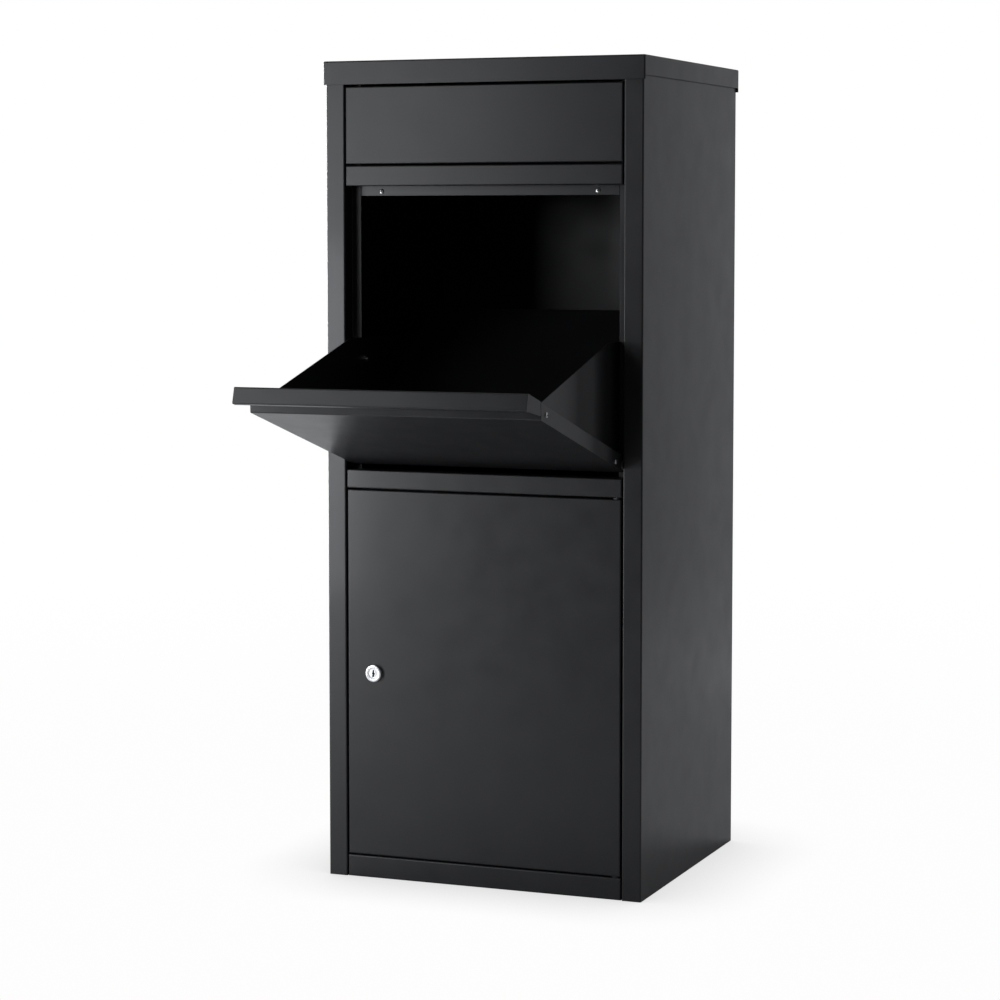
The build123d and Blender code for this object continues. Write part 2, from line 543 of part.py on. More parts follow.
with BuildPart() as cheek_nuts:
    for x in (nut_outer, -nut_outer + NUT_H):
        with BuildSketch(flap_plane(x)):
            with Locations(*CHEEK_SCREWS):
                RegularPolygon(NUT_R, 6)
                Circle(SCREW_SHANK_R + HOLE_EASE, mode=Mode.SUBTRACT)
        extrude(amount=NUT_H)
save(cheek_nuts.part, "cheek_nuts")

# Stop blocks: rubber blocks bolted outside the cheeks, which meet the back of the stop flanges.
BLOCK_T, BLOCK_H, BLOCK_BEHIND, BLOCK_ROUND, STOP_CLEAR = 9, 22, 11, 3, 0.3
block_centre = flap_point(0, STOP_BLOCK)
block_y = (STOP + T + STOP_CLEAR, block_centre.Y + BLOCK_BEHIND)
BOLT_HEAD_R, BOLT_HEAD_H, BOLT_ROUND = 4.3, 2.5, 1.2
BOLT_NUT_R, BOLT_NUT_H, BOLT_PROUD = 4.6, 3.6, 1.5
with BuildPart() as stop_blocks:
    with Locations([(s * (CHEEK_OUTER + BLOCK_T / 2), sum(block_y) / 2, block_centre.Z) for s, _ in SIDES]):
        Box(BLOCK_T, block_y[1] - block_y[0], BLOCK_H)
    fillet(stop_blocks.edges().filter_by(Axis.X), radius=BLOCK_ROUND)
    with Locations((0, block_centre.Y, block_centre.Z)):
        Cylinder(BOLT_R + HOLE_EASE, 2 * SIDE, rotation=ALONG_X, mode=Mode.SUBTRACT)
save(stop_blocks.part, "stop_blocks")

bolt_outer = CHEEK_OUTER + BLOCK_T
bolt_inner = CHEEK_OUTER - T - BOLT_NUT_H - BOLT_PROUD
with BuildPart() as stop_bolts:
    row_of_cylinders(BOLT_HEAD_R, bolt_outer, bolt_outer + BOLT_HEAD_H, (STOP_BLOCK,))
    head_rims = stop_bolts.edges().filter_by(GeomType.CIRCLE).group_by(Axis.X)
    fillet(head_rims[0] + head_rims[-1], radius=BOLT_ROUND)
    row_of_cylinders(BOLT_R, bolt_inner, bolt_outer, (STOP_BLOCK,))
save(stop_bolts.part, "stop_bolts")

with BuildPart() as stop_nuts:
    nut_face = CHEEK_OUTER - T
    for x in (nut_face, -nut_face + BOLT_NUT_H):
        with BuildSketch(flap_plane(x)):
            with Locations(STOP_BLOCK):
                RegularPolygon(BOLT_NUT_R, 6)
                Circle(BOLT_R + HOLE_EASE, mode=Mode.SUBTRACT)
        extrude(amount=BOLT_NUT_H)
save(stop_nuts.part, "stop_nuts")

# Flap pivots: headed pins held in the jambs turn in flanged bushes in the flap's bands.
PIVOT_HEAD_R, PIVOT_HEAD_H, PIVOT_FLANGE_R, PIVOT_PLAY = 5, 3, 6.5, 0.4
PIVOT_REACH = 5  # how far the pins and bushes reach into the flap
PIVOT_INNER = FLAP_HALF_W - PIVOT_REACH
with BuildPart() as flap_pivot_pins:
    row_of_cylinders(PIVOT_HEAD_R, JAMB + T, JAMB + T + PIVOT_HEAD_H, ((0, 0),))
    row_of_cylinders(PIVOT_PIN_R, PIVOT_INNER, JAMB + T, ((0, 0),))
save(flap_pivot_pins.part, "flap_pivot_pins")

with BuildPart() as flap_pivot_bushes:
    row_of_cylinders(PIVOT_FLANGE_R, FLAP_HALF_W, JAMB - PIVOT_PLAY, ((0, 0),))
    row_of_cylinders(PIVOT_BUSH_R, PIVOT_INNER, FLAP_HALF_W, ((0, 0),))
    with Locations((0, PIVOT_Y, PIVOT_Z)):
        Cylinder(PIVOT_PIN_R + RUNNING, 2 * SIDE, rotation=ALONG_X, mode=Mode.SUBTRACT)
save(flap_pivot_bushes.part, "flap_pivot_bushes")
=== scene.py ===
"""Parcel drop box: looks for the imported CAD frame. Metres, +Z up, the front faces -Y."""
import json
import math

import bmesh
import bpy
from mathutils import Matrix, Vector


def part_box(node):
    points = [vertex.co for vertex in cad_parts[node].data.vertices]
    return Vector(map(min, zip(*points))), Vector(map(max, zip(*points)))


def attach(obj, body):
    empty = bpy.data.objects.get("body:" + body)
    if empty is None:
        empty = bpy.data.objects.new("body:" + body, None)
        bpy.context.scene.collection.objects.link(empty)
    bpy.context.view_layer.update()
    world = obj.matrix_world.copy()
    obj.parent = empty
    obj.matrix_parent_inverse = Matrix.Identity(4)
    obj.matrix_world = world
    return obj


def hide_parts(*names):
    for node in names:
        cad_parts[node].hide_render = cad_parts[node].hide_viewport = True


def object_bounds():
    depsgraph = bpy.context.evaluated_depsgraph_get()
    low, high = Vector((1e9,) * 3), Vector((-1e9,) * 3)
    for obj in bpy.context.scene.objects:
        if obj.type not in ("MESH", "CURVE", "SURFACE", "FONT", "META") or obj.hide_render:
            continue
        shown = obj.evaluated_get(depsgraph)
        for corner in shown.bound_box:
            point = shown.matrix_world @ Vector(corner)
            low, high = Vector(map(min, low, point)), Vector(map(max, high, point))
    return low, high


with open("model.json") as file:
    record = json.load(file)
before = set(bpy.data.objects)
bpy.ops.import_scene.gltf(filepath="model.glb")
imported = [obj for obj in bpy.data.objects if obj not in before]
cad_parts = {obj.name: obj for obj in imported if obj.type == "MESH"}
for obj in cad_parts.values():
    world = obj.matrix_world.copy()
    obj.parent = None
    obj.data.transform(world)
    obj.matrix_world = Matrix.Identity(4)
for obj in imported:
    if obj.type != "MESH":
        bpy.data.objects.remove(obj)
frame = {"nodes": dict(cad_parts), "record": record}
cad_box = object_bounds()
nodes = frame["nodes"]
MM = 0.001

# ---------------------------------------------------------------- camera
CAMERA_AT = (1.2911, -3.3784, 0.8206)
CAMERA_AZIMUTH, CAMERA_PITCH = 21.655, 4.593  # degrees: left of straight ahead, and below level
CAMERA_LENS, SENSOR, CAMERA_SHIFT = 101.63, 36.0, -0.05


def link(obj):
    bpy.context.scene.collection.objects.link(obj)
    return obj


def make_camera():
    data = bpy.data.cameras.new("camera")
    data.lens, data.sensor_width = CAMERA_LENS, SENSOR
    data.shift_y = CAMERA_SHIFT
    data.clip_end = 50
    camera = link(bpy.data.objects.new("camera", data))
    camera.location = CAMERA_AT
    camera.rotation_euler = (math.radians(90 - CAMERA_PITCH), 0, math.radians(CAMERA_AZIMUTH))
    bpy.context.scene.camera = camera


# ---------------------------------------------------------------- node helpers
def new_material(name):
    material = bpy.data.materials.new(name)
    material.use_nodes = True
    return material, material.node_tree, material.node_tree.nodes["Principled BSDF"]


def object_coords(tree):
    return tree.nodes.new("ShaderNodeTexCoord").outputs["Object"]


def noise(tree, coords, scale, detail=2.0, roughness=0.5):
    """Noise between 0 and 1, whose features are about 1/scale metres across."""
    node = tree.nodes.new("ShaderNodeTexNoise")
    node.inputs["Scale"].default_value = scale
    node.inputs["Detail"].default_value = detail
    node.inputs["Roughness"].default_value = roughness
    tree.links.new(coords, node.inputs["Vector"])
    return node.outputs["Fac"]


def remap(tree, value, low, high, to_low, to_high):
    node = tree.nodes.new("ShaderNodeMapRange")
    for name, number in (("From Min", low), ("From Max", high), ("To Min", to_low), ("To Max", to_high)):
        node.inputs[name].default_value = number
    tree.links.new(value, node.inputs["Value"])
    return node.outputs["Result"]


def blend_colors(tree, value, low_color, high_color):
    ramp = tree.nodes.new("ShaderNodeValToRGB")
    ramp.color_ramp.elements[0].color = (*low_color, 1)
    ramp.color_ramp.elements[1].color = (*high_color, 1)
    tree.links.new(value, ramp.inputs["Fac"])
    return ramp.outputs["Color"]


def vector_math(tree, operation, value, other=(0, 0, 0)):
    node = tree.nodes.new("ShaderNodeVectorMath")
    node.operation = operation
    node.inputs[1].default_value = other
    tree.links.new(value, node.inputs[0])
    return node.outputs["Value" if operation == "LENGTH" else "Vector"]


def number_math(tree, operation, first, second):
    node = tree.nodes.new("ShaderNodeMath")
    node.operation = operation
    tree.links.new(first, node.inputs[0])
    tree.links.new(second, node.inputs[1])
    return node.outputs["Value"]


def split_xyz(tree, vector):
    node = tree.nodes.new("ShaderNodeSeparateXYZ")
    tree.links.new(vector, node.inputs["Vector"])
    return node.outputs


def mix_shaders(tree, factor, first, second):
    node = tree.nodes.new("ShaderNodeMixShader")
    for i, output in enumerate((factor, first, second)):
        tree.links.new(output, node.inputs[i])
    return node.outputs["Shader"]


def camera_ray(tree):
    """1 for what the camera sees directly, 0 for the light and reflections it gives off."""
    return tree.nodes.new("ShaderNodeLightPath").outputs["Is Camera Ray"]


def bumps(tree, shader, layers, edge_radius=0.0):
    """Stack height layers, each (value, strength, distance in metres), over softly rounded edges."""
    normal = None
    if edge_radius:
        edge = tree.nodes.new("ShaderNodeBevel")
        edge.samples = 4
        edge.inputs["Radius"].default_value = edge_radius
        normal = edge.outputs["Normal"]
    for value, strength, distance in layers:
        bump = tree.nodes.new("ShaderNodeBump")
        bump.inputs["Strength"].default_value = strength
        bump.inputs["Distance"].default_value = distance
        tree.links.new(value, bump.inputs["Height"])
        if normal:
            tree.links.new(normal, bump.inputs["Normal"])
        normal = bump.outputs["Normal"]
    tree.links.new(normal, shader.inputs["Normal"])


# ---------------------------------------------------------------- materials
EDGE_RADIUS = 0.9 * MM  # how softly the powder coat rounds the sheet's edges


def make_powder_coat():
    """Satin black powder coat: fine orange peel, soft waves in the sheet and a faint mottle."""
    material, tree, shader = new_material("powder_coat")
    coords = object_coords(tree)
    grain = noise(tree, coords, 850, 3, 0.55)
    peel = noise(tree, coords, 230, 2)
    waves = noise(tree, coords, 5, 1)
    mottle = noise(tree, coords, 28, 3)
    color = blend_colors(tree, mottle, (0.0122, 0.0124, 0.0138), (0.0162, 0.0165, 0.0184))
    tree.links.new(color, shader.inputs["Base Color"])
    tree.links.new(remap(tree, mottle, 0.25, 0.75, 0.31, 0.37), shader.inputs["Roughness"])
    shader.inputs["IOR"].default_value = 1.5
    layers = ((waves, 0.35, 1.2 * MM), (peel, 0.10, 0.05 * MM), (grain, 0.22, 0.03 * MM))
    bumps(tree, shader, layers, EDGE_RADIUS)
    return material


def make_metal(name, tint, roughness, scratch, blotch):
    """Plated steel: streaks of fine scratches, and a slow change in tint and roughness."""
    material, tree, shader = new_material(name)
    coords = object_coords(tree)
    stretch = tree.nodes.new("ShaderNodeMapping")
    stretch.inputs["Scale"].default_value = (1, 1, 0.08)
    tree.links.new(coords, stretch.inputs["Vector"])
    streaks = noise(tree, stretch.outputs["Vector"], 5200, 3, 0.6)
    clouds = noise(tree, coords, 420, 3)
    darker = tuple(c * (1 - blotch) for c in tint)
    tree.links.new(blend_colors(tree, clouds, darker, tint), shader.inputs["Base Color"])
    shader.inputs["Metallic"].default_value = 1
    low, high = roughness
    tree.links.new(remap(tree, streaks, 0.3, 0.7, low, high), shader.inputs["Roughness"])
    bumps(tree, shader, ((streaks, scratch, 0.02 * MM), (clouds, scratch, 0.05 * MM)))
    return material


def make_moulded(name, low_color, high_color, roughness, grain_scale, grain_depth):
    """Moulded rubber or plastic: a fine spark-eroded grain, and a slightly uneven sheen."""
    material, tree, shader = new_material(name)
    coords = object_coords(tree)
    grain = noise(tree, coords, grain_scale, 3, 0.6)
    clouds = noise(tree, coords, 160, 2)
    tree.links.new(blend_colors(tree, clouds, low_color, high_color), shader.inputs["Base Color"])
    low, high = roughness
    tree.links.new(remap(tree, clouds, 0.3, 0.7, low, high), shader.inputs["Roughness"])
    bumps(tree, shader, ((grain, 0.5, grain_depth),))
    return material


def make_painted_recess_shade():
    """Near black painted shade for the inside of a keyway or a screw's recess."""
    material, tree, shader = new_material("recess_painted_shade")
    coords = object_coords(tree)
    clouds = noise(tree, coords, 600, 2)
    color = blend_colors(tree, clouds, (0.003, 0.003, 0.003), (0.012, 0.012, 0.012))
    tree.links.new(color, shader.inputs["Base Color"])
    tree.links.new(remap(tree, clouds, 0.3, 0.7, 0.5, 0.7), shader.inputs["Roughness"])
    return material


RUBBER = ((0.014, 0.014, 0.014), (0.026, 0.026, 0.025), (0.66, 0.85), 1900, 0.06 * MM)
NYLON = ((0.022, 0.022, 0.023), (0.034, 0.034, 0.035), (0.4, 0.55), 1500, 0.03 * MM)
MATERIALS = {
    "powder_coat": make_powder_coat(),
    "chrome": make_metal("chrome", (0.9, 0.9, 0.91), (0.3, 0.42), 0.05, 0.03),
    "zinc_steel": make_metal("zinc_steel", (0.66, 0.66, 0.64), (0.2, 0.36), 0.12, 0.12),
    "rubber": make_moulded("rubber", *RUBBER),
    "nylon": make_moulded("nylon", *NYLON),
}
# Near black painted shade for the walls of keyways and screw recesses.
PAINTED_RECESS_SHADE = make_painted_recess_shade()


# ---------------------------------------------------------------- small turned and pressed pieces
ROUND = 48  # segments round a turned piece
SHARP = math.radians(34)  # edges turned further than this are shaded sharp
WELD = 1e-6  # metres


def finish_mesh(build, name, placement, slot, body):
    """Turn a bmesh built along +Z into a smooth-shaded piece, put it in place and let it ride."""
    mesh = bpy.data.meshes.new(name)
    bmesh.ops.remove_doubles(build, verts=build.verts, dist=WELD)
    bmesh.ops.recalc_face_normals(build, faces=build.faces)
    build.to_mesh(mesh)
    build.free()
    mesh.transform(placement)
    mesh.materials.append(MATERIALS[slot])
    piece = link(bpy.data.objects.new(name, mesh))
    for polygon in mesh.polygons:
        polygon.use_smooth = True
    mesh.set_sharp_from_angle(angle=SHARP)
    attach(piece, body)
    return piece


def turned(build, profile):
    """Revolve (radius, height) points about Z. The profile ends on the axis or closes on itself."""
    rings = []
    for radius, height in profile:
        if radius == 0:
            rings.append([build.verts.new((0, 0, height))])
            continue
        ring = []
        for i in range(ROUND):
            angle = 2 * math.pi * i / ROUND
            ring.append(build.verts.new((radius * math.cos(angle), radius * math.sin(angle), height)))
        rings.append(ring)
    for low, high in zip(rings, rings[1:]):
        for i in range(ROUND):
            j = i + 1
            corners = [low[i % len(low)], low[j % len(low)], high[j % len(high)], high[i % len(high)]]
            unique = list(dict.fromkeys(corners))
            if len(unique) > 2:
                build.faces.new(unique)


def prism(build, outline, low, high):
    """Extrude a closed outline of (x, y) points between two heights."""
    bottom = [build.verts.new((x, y, low)) for x, y in outline]
    top = [build.verts.new((x, y, high)) for x, y in outline]
    build.faces.new(bottom[::-1])
    build.faces.new(top)
    count = len(outline)
    for i in range(count):
        j = (i + 1) % count
        build.faces.new((bottom[i], bottom[j], top[j], top[i]))


def boolean(piece, tool, operation, material_mode):
    """Apply a boolean with the tool to the piece and delete the tool."""
    modifier = piece.modifiers.new("boolean", "BOOLEAN")
    modifier.operation, modifier.solver, modifier.object = operation, "EXACT", tool
    modifier.material_mode = material_mode
    with bpy.context.temp_override(object=piece, active_object=piece):
        bpy.ops.object.modifier_apply(modifier=modifier.name)
    bpy.data.objects.remove(tool)


def cut(piece, cutter):
    """Cut the cutter out of the piece, whose cut faces take the cutter's material."""
    boolean(piece, cutter, "DIFFERENCE", "TRANSFER")


def cutter_from(build, placement, material=MATERIALS["zinc_steel"]):
    """An object to cut with, made from a bmesh built along +Z."""
    mesh = bpy.data.meshes.new("cutter")
    bmesh.ops.recalc_face_normals(build, faces=build.faces)
    build.to_mesh(mesh)
    build.free()
    mesh.transform(placement)
    mesh.materials.append(material)
    return link(bpy.data.objects.new("cutter", mesh))


def facing(at, direction):
    """Placement that puts a piece's origin at a point and turns its +Z along a direction."""
    turn = Vector(direction).to_track_quat("Z", "Y").to_matrix().to_4x4()
    return Matrix.Translation(Vector(at)) @ turn


def cross_outline(a, w):
    """Outline of a cross whose arms reach a from the centre and are 2 w wide."""
    upper = [(w, w), (w, a), (-w, a), (-w, w), (-a, w)]
    lower = [(-a, -w), (-w, -w), (-w, -a), (w, -a), (w, -w), (a, -w), (a, w)]
    return upper + lower


DOME_R, DOME_FROM = 0.72, 0.72  # the head's domed middle, as parts of its radius and height
HEAD_SIDE = ((0.9, 0.78 * DOME_FROM), (0.985, 0.5 * DOME_FROM), (1, 0.25 * DOME_FROM), (0.98, 0))
THREAD_PITCH, THREAD_ROOT = 0.7 * MM, 0.84
RECESS_ARM, RECESS_HALF_W, RECESS_FLOOR = 0.52, 0.13, 0.25


def pan_head_screw(name, at, out, body, head_r, head_h, shank_r, shank_length):
    """Pan-head screw with a cross recess. Its head sits on the surface at the point, facing out."""
    build = bmesh.new()
    profile = [(0, head_h)]
    dome_h = head_h * (1 - DOME_FROM)
    dome_r = (head_r * DOME_R) ** 2 / (2 * dome_h) + dome_h / 2
    for i in range(1, 7):
        r = head_r * DOME_R * i / 6
        profile.append((r, head_h - dome_r + math.sqrt(dome_r**2 - r**2)))
    profile += [(head_r * r, head_h * height) for r, height in HEAD_SIDE]
    profile += [(shank_r, 0)]
    for i in range(int(shank_length / THREAD_PITCH)):
        crest, root, end = (-(i + part) * THREAD_PITCH for part in (0.1, 0.55, 1))
        profile += [(shank_r, crest), (shank_r * THREAD_ROOT, root), (shank_r, end)]
    profile += [(shank_r * 0.8, -shank_length), (0, -shank_length)]
    turned(build, profile)
    piece = finish_mesh(build, name, facing(at, out), "zinc_steel", body)
    recess = bmesh.new()
    outline = cross_outline(head_r * RECESS_ARM, head_r * RECESS_HALF_W)
    prism(recess, outline, head_h * RECESS_FLOOR, head_h * 1.4)
    # The recess's walls take the near black painted shade.
    cut(piece, cutter_from(recess, facing(at, out), PAINTED_RECESS_SHADE))
    return piece


NUT_FACE, CORNER_FROM = 0.97, 0.82  # the face, as part of the flats' radius, and where corners slope
SINK, SINK_FROM = 1.16, 0.86  # the bore's countersink, as part of its radius, and where it starts


def hex_nut(name, at, out, body, corner_r, height, bore_r):
    """Hexagon nut standing on a surface, with chamfered corners and a countersunk bore."""
    build = bmesh.new()
    angles = [math.radians(60 * i) for i in range(6)]
    prism(build, [(corner_r * math.cos(a), corner_r * math.sin(a)) for a in angles], 0, height)
    piece = finish_mesh(build, name, facing(at, out), "zinc_steel", body)
    cone = bmesh.new()
    face_r = corner_r * math.cos(math.radians(30)) * NUT_FACE
    outer_r = corner_r * 1.02
    slope = [(face_r, height), (outer_r, height * CORNER_FROM)]
    turned(cone, [(0, height), *slope, (outer_r, 0), (0, 0)])
    boolean(piece, cutter_from(cone, facing(at, out)), "INTERSECT", "INDEX")
    bore = bmesh.new()
    sink_r = bore_r * SINK
    profile = [(0, -height), (bore_r, -height), (bore_r, height * SINK_FROM), (sink_r, height * 1.02)]
    turned(bore, profile + [(sink_r, 2 * height), (0, 2 * height)])
    cut(piece, cutter_from(bore, facing(at, out)))
    piece.data.set_sharp_from_angle(angle=SHARP)
    return piece


def solid_boxes(node):
    """Box of each separate solid of a CAD node, found by grouping its linked vertices."""
    build = bmesh.new()
    build.from_mesh(nodes[node].data)
    bmesh.ops.remove_doubles(build, verts=build.verts, dist=WELD)
    left, boxes = set(build.verts), []
    while left:
        stack = [left.pop()]
        group = []
        while stack:
            vert = stack.pop()
            group.append(vert.co.copy())
            for edge in vert.link_edges:
                other = edge.other_vert(vert)
                if other in left:
                    left.remove(other)
                    stack.append(other)
        low = Vector(tuple(min(p[i] for p in group) for i in range(3)))
        high = Vector(tuple(max(p[i] for p in group) for i in range(3)))
        boxes.append((low, high))
    build.free()
    return sorted(boxes, key=lambda pair: tuple(pair[0]))


# ---------------------------------------------------------------- screws and nuts
# Sizes: head radius, head height and shank radius of a screw; corner radius, height and bore of a nut.
SMALL_SCREW, STOP_BOLT = (3.1 * MM, 1.5 * MM, 1.9 * MM), (4.3 * MM, 2.5 * MM, 2.5 * MM)
SMALL_NUT, STOP_NUT = (4.1 * MM, 3 * MM, 1.95 * MM), (4.6 * MM, 3.6 * MM, 2.55 * MM)


def side_and_ends(low, high):
    """Which side of the box a solid is on, and its outer and inner ends along X."""
    side = 1 if (low.x + high.x) / 2 > 0 else -1
    return (side, high.x, low.x) if side > 0 else (side, low.x, high.x)


def make_header_fasteners():
    """The screws and nuts that hold the header angle, which face the front and the back."""
    front = Vector((0, -1, 0))
    for i, (low, high) in enumerate(solid_boxes("header_screws")):
        middle = (low + high) / 2
        at = (middle.x, low.y + SMALL_SCREW[1], middle.z)
        length = high.y - at[1]
        pan_head_screw(f"header_screw_{i + 1}", at, front, "cabinet", *SMALL_SCREW, length)
    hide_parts("header_screws")
    for i, (low, high) in enumerate(solid_boxes("header_nuts")):
        middle = (low + high) / 2
        at = (middle.x, low.y, middle.z)
        hex_nut(f"header_nut_{i + 1}", at, -front, "cabinet", *SMALL_NUT)
    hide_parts("header_nuts")


def make_flap_screws(node, name, size):
    """Screws of a flap node, which face away from the middle of the box."""
    for i, (low, high) in enumerate(solid_boxes(node)):
        middle = (low + high) / 2
        side, outer, inner = side_and_ends(low, high)
        at = (outer - side * size[1], middle.y, middle.z)
        length = abs(at[0] - inner)
        pan_head_screw(f"{name}_{i + 1}", at, (side, 0, 0), "flap", *size, length)
    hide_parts(node)


def make_flap_nuts(node, name, size):
    """Nuts of a flap node, which face the middle of the box."""
    for i, (low, high) in enumerate(solid_boxes(node)):
        middle = (low + high) / 2
        side, outer, _ = side_and_ends(low, high)
        at = (outer, middle.y, middle.z)
        hex_nut(f"{name}_{i + 1}", at, (-side, 0, 0), "flap", *size)
    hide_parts(node)


def make_fasteners():
    make_header_fasteners()
    make_flap_screws("cheek_screws", "cheek_screw", SMALL_SCREW)
    make_flap_nuts("cheek_nuts", "cheek_nut", SMALL_NUT)
    make_flap_screws("stop_bolts", "stop_bolt", STOP_BOLT)
    make_flap_nuts("stop_nuts", "stop_nut", STOP_NUT)


# ---------------------------------------------------------------- cam lock
LOCK_R, LOCK_RISE, PLUG_R = 10.5 * MM, 5 * MM, 6.2 * MM
RIM, RIM_DROP, RIM_ROUND = 2.2 * MM, 0.4 * MM, 0.5 * MM  # the head's sloping rim
BARREL_R, SHOULDER_R, TAIL_R = 8.9 * MM, 5.5 * MM, 3.5 * MM
PLUG_RECESS, EASE = 0.8 * MM, 0.25 * MM
KEYWAY_DEPTH = 13 * MM


def barrel_profile(bore, back_depth):
    """Section of the lock's barrel: its head, with a fine groove inside the rim, and its body."""
    rim = LOCK_R - RIM
    profile = [(bore, LOCK_RISE - 0.9 * MM), (bore + EASE, LOCK_RISE - EASE)]
    profile += [(rim, LOCK_RISE - 0.1 * MM), (rim + 0.15 * MM, LOCK_RISE - 0.25 * MM)]
    profile += [(rim + 0.3 * MM, LOCK_RISE - 0.15 * MM), (LOCK_R - RIM / 2, LOCK_RISE - RIM_DROP / 2)]
    round_centre = LOCK_RISE - RIM_DROP - RIM_ROUND
    for i in range(7):
        angle = math.radians(80 - 13 * i)
        radius = LOCK_R - RIM_ROUND * (1 - math.cos(angle))
        profile.append((radius, round_centre + RIM_ROUND * math.sin(angle)))
    profile += [(LOCK_R, 0.6 * MM), (LOCK_R - 0.35 * MM, 0)]
    profile += [(BARREL_R, 0), (BARREL_R, -back_depth), (bore, -back_depth)]
    return profile + [profile[0]]


def plug_profile(face, back_depth, shoulder, tail):
    """Section of the lock's plug: a slightly raised middle, a ring groove, and its stepped tail."""
    groove = face - 0.22 * MM
    profile = [(0, face + 0.15 * MM), (2.6 * MM, face + 0.12 * MM), (4.7 * MM, face), (4.95 * MM, groove)]
    profile += [(5.2 * MM, groove), (5.45 * MM, face), (PLUG_R - EASE, face), (PLUG_R, face - EASE)]
    profile += [(PLUG_R, -back_depth), (SHOULDER_R, -back_depth), (SHOULDER_R, -shoulder)]
    return profile + [(TAIL_R, -shoulder), (TAIL_R, -tail), (0, -tail)]


def keyway_outline():
    """An upright slot with a ward on each side."""
    w, h, right, left = 1.15 * MM, 4.4 * MM, 2.2 * MM, 1.84 * MM
    outline = [(w, -h), (w, -1.3 * MM), (right, -0.7 * MM), (right, 0.5 * MM), (w, 1.1 * MM), (w, h)]
    return outline + [(-w, h), (-w, 0.9 * MM), (-left, 0.3 * MM), (-w, -0.4 * MM), (-w, -h)]


def make_lock():
    low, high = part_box("lock_housing")
    door_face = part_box("door_panel")[0].y
    back_depth = high.y - door_face
    placement = facing(((low.x + high.x) / 2, door_face, (low.z + high.z) / 2), (0, -1, 0))
    build = bmesh.new()
    turned(build, barrel_profile(PLUG_R + 0.15 * MM, back_depth))
    barrel = finish_mesh(build, "lock_barrel", placement, "chrome", "door")
    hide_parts("lock_housing")

    face = LOCK_RISE - PLUG_RECESS
    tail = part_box("lock_plug")[1].y - door_face
    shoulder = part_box("lock_cam")[0].y - door_face
    build = bmesh.new()
    turned(build, plug_profile(face, back_depth, shoulder, tail))
    core = finish_mesh(build, "lock_core", placement, "chrome", "lock")
    slot = bmesh.new()
    prism(slot, keyway_outline(), face - KEYWAY_DEPTH, face + 2 * MM)
    # The keyway's walls take the near black painted shade.
    cut(core, cutter_from(slot, placement, PAINTED_RECESS_SHADE))
    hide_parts("lock_plug")


# ---------------------------------------------------------------- studio
STUDIO_TINT = (0.975, 0.995, 1.03)  # slightly cool


def area_light(name, at, target, size, power):
    data = bpy.data.lights.new(name, "AREA")
    data.shape = "RECTANGLE"
    data.size, data.size_y = size
    data.energy = power
    data.color = STUDIO_TINT
    light = link(bpy.data.objects.new(name, data))
    light.location = at
    light.visible_camera = False
    light.rotation_euler = (Vector(target) - Vector(at)).to_track_quat("-Z", "Y").to_euler()
    return light


LOW_GLOW, HIGH_GLOW = 0.02, 0.16  # the studio's own brightness near the horizon and overhead


def make_world():
    """A studio with a faint glow overhead, and plain white where the camera sees it."""
    world = bpy.data.worlds.new("studio")
    bpy.context.scene.world = world
    world.use_nodes = True
    tree = world.node_tree
    tree.nodes.clear()
    seen = tree.nodes.new("ShaderNodeBackground")
    seen.inputs["Color"].default_value = (1, 1, 1, 1)
    glow = tree.nodes.new("ShaderNodeBackground")
    glow.inputs["Color"].default_value = (0.97, 0.98, 1, 1)
    direction = tree.nodes.new("ShaderNodeTexCoord").outputs["Generated"]
    height = split_xyz(tree, direction)["Z"]
    tree.links.new(remap(tree, height, 0.55, 1, LOW_GLOW, HIGH_GLOW), glow.inputs["Strength"])
    mixed = mix_shaders(tree, camera_ray(tree), glow.outputs[0], seen.outputs[0])
    out = tree.nodes.new("ShaderNodeOutputWorld")
    tree.links.new(mixed, out.inputs["Surface"])


FLOOR_R, FLOOR_FADE = 3.0, (1.1, 2.9)  # metres from the box: the floor's edge, and where it fades


PAINTED_SHADOW_REACH = 0.14  # metres that the painted contact shadow reaches from the base
PAINTED_SHADOW_DARK, FLOOR_BRIGHT = 0.74, 0.985  # the floor's painted brightness as the camera sees it: painted contact shadow at the base, and away from it
PAINTED_UNDER_BOX_SHADE = 0.01  # brightness of the painted shade under the box, which shows only through the anchor holes


def painted_shade_under_box(tree, coords):
    """1 on the open floor, and painted shade below the base panel."""
    low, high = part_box("base_panel")
    middle = ((low.x + high.x) / 2, (low.y + high.y) / 2, 0)
    half = ((high.x - low.x) / 2, (high.y - low.y) / 2, 1)
    scaled = vector_math(tree, "DIVIDE", vector_math(tree, "SUBTRACT", coords, middle), half)
    parts = split_xyz(tree, vector_math(tree, "ABSOLUTE", scaled))
    furthest = number_math(tree, "MAXIMUM", parts["X"], parts["Y"])
    return remap(tree, furthest, 0.97, 1, PAINTED_UNDER_BOX_SHADE, 1)


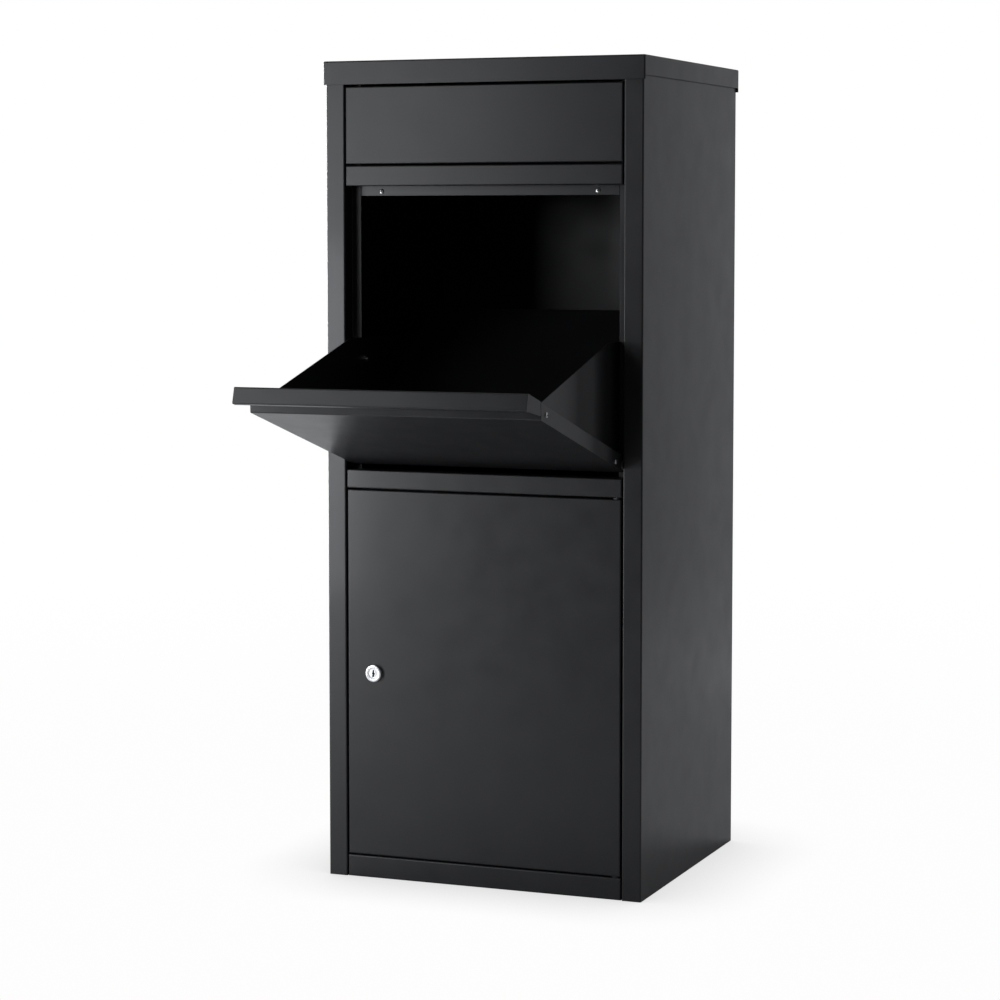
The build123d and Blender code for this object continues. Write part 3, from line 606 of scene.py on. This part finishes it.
def make_floor_paint():
    """Pale matt paint that the camera sees almost white, with a soft painted contact shadow round the
    base.
    """
    material, tree, shader = new_material("floor_paint")
    coords = object_coords(tree)
    color = blend_colors(tree, noise(tree, coords, 3, 2), (0.84, 0.84, 0.84), (0.87, 0.87, 0.87))
    tree.links.new(color, shader.inputs["Base Color"])
    shader.inputs["Roughness"].default_value = 0.85
    # Painted shadow: occlusion darkens the emission that only the camera sees.
    near = tree.nodes.new("ShaderNodeAmbientOcclusion")
    near.samples = 8
    near.inputs["Distance"].default_value = PAINTED_SHADOW_REACH
    painted_shadow = remap(tree, near.outputs["AO"], 0.45, 1, PAINTED_SHADOW_DARK, FLOOR_BRIGHT)
    pale = tree.nodes.new("ShaderNodeEmission")
    # The painted shade under the box scales the emission that only the camera sees.
    strength = number_math(tree, "MULTIPLY", painted_shadow, painted_shade_under_box(tree, coords))
    tree.links.new(strength, pale.inputs["Strength"])
    fade = remap(tree, vector_math(tree, "LENGTH", coords), *FLOOR_FADE, 1, 0)
    tree.links.new(fade, shader.inputs["Alpha"])
    clear = tree.nodes.new("ShaderNodeBsdfTransparent")
    faded = mix_shaders(tree, fade, clear.outputs[0], pale.outputs[0])
    seen = mix_shaders(tree, camera_ray(tree), shader.outputs[0], faded)
    tree.links.new(seen, tree.nodes["Material Output"].inputs["Surface"])
    return material


def make_floor():
    """A pale floor under the box that fades into the white studio."""
    build = bmesh.new()
    bmesh.ops.create_circle(build, cap_ends=True, radius=FLOOR_R, segments=96)
    mesh = bpy.data.meshes.new("floor")
    build.to_mesh(mesh)
    build.free()
    mesh.materials.append(make_floor_paint())
    floor = link(bpy.data.objects.new("floor", mesh))
    floor.location.z = cad_box[0].z - 0.5 * MM


make_camera()
make_world()
make_floor()
bpy.context.scene.view_settings.view_transform = "Standard"

area_light("key_low", (-1.15, -1.5, 0.2), (0, -0.2, 0.35), (0.4, 0.4), 4.2)
area_light("key_middle", (-1.15, -1.5, 0.6), (0, -0.2, 0.55), (0.4, 0.4), 7.3)
area_light("key_high", (-1.15, -1.5, 1.0), (0, -0.2, 0.75), (0.4, 0.4), 1.2)
area_light("key_top", (-1.15, -1.5, 1.4), (0, -0.2, 0.95), (0.4, 0.4), 0.9)
area_light("key_inner", (-0.75, -1.6, 1.1), (0, -0.2, 0.8), (0.4, 0.6), 2.1)
area_light("jamb_strip", (-0.25, -0.3, 0.57), (-0.2, -0.19, 0.57), (0.02, 0.45), 0.07)
area_light("fill", (0.3, -2.4, 1.8), (0, -0.2, 0.6), (0.8, 0.8), 1)
area_light("rear_left", (-2.2, 1.6, 0.6), (0, 0, 0.5), (1.4, 1.2), 85)
area_light("rear_right", (2.2, 2.2, 1.0), (0.2, 0, 0.5), (1.4, 1.8), 3.5)
area_light("side_right", (3.2, 0.1, 1.0), (0.2, 0, 0.5), (1.8, 1.8), 6)
area_light("rear_near", (0.5, 1.3, 0.7), (0.2, 0.1, 0.6), (0.3, 1.8), 1.18)
area_light("top", (0.2, 0.8, 3.0), (0, 0, 0.5), (2.5, 2.5), 17)

for part in frame["record"]["subparts"]:
    obj = nodes[part["node"]]
    obj.data.materials.clear()
    obj.data.materials.append(MATERIALS[part["material_slot"]])

make_fasteners()
make_lock()
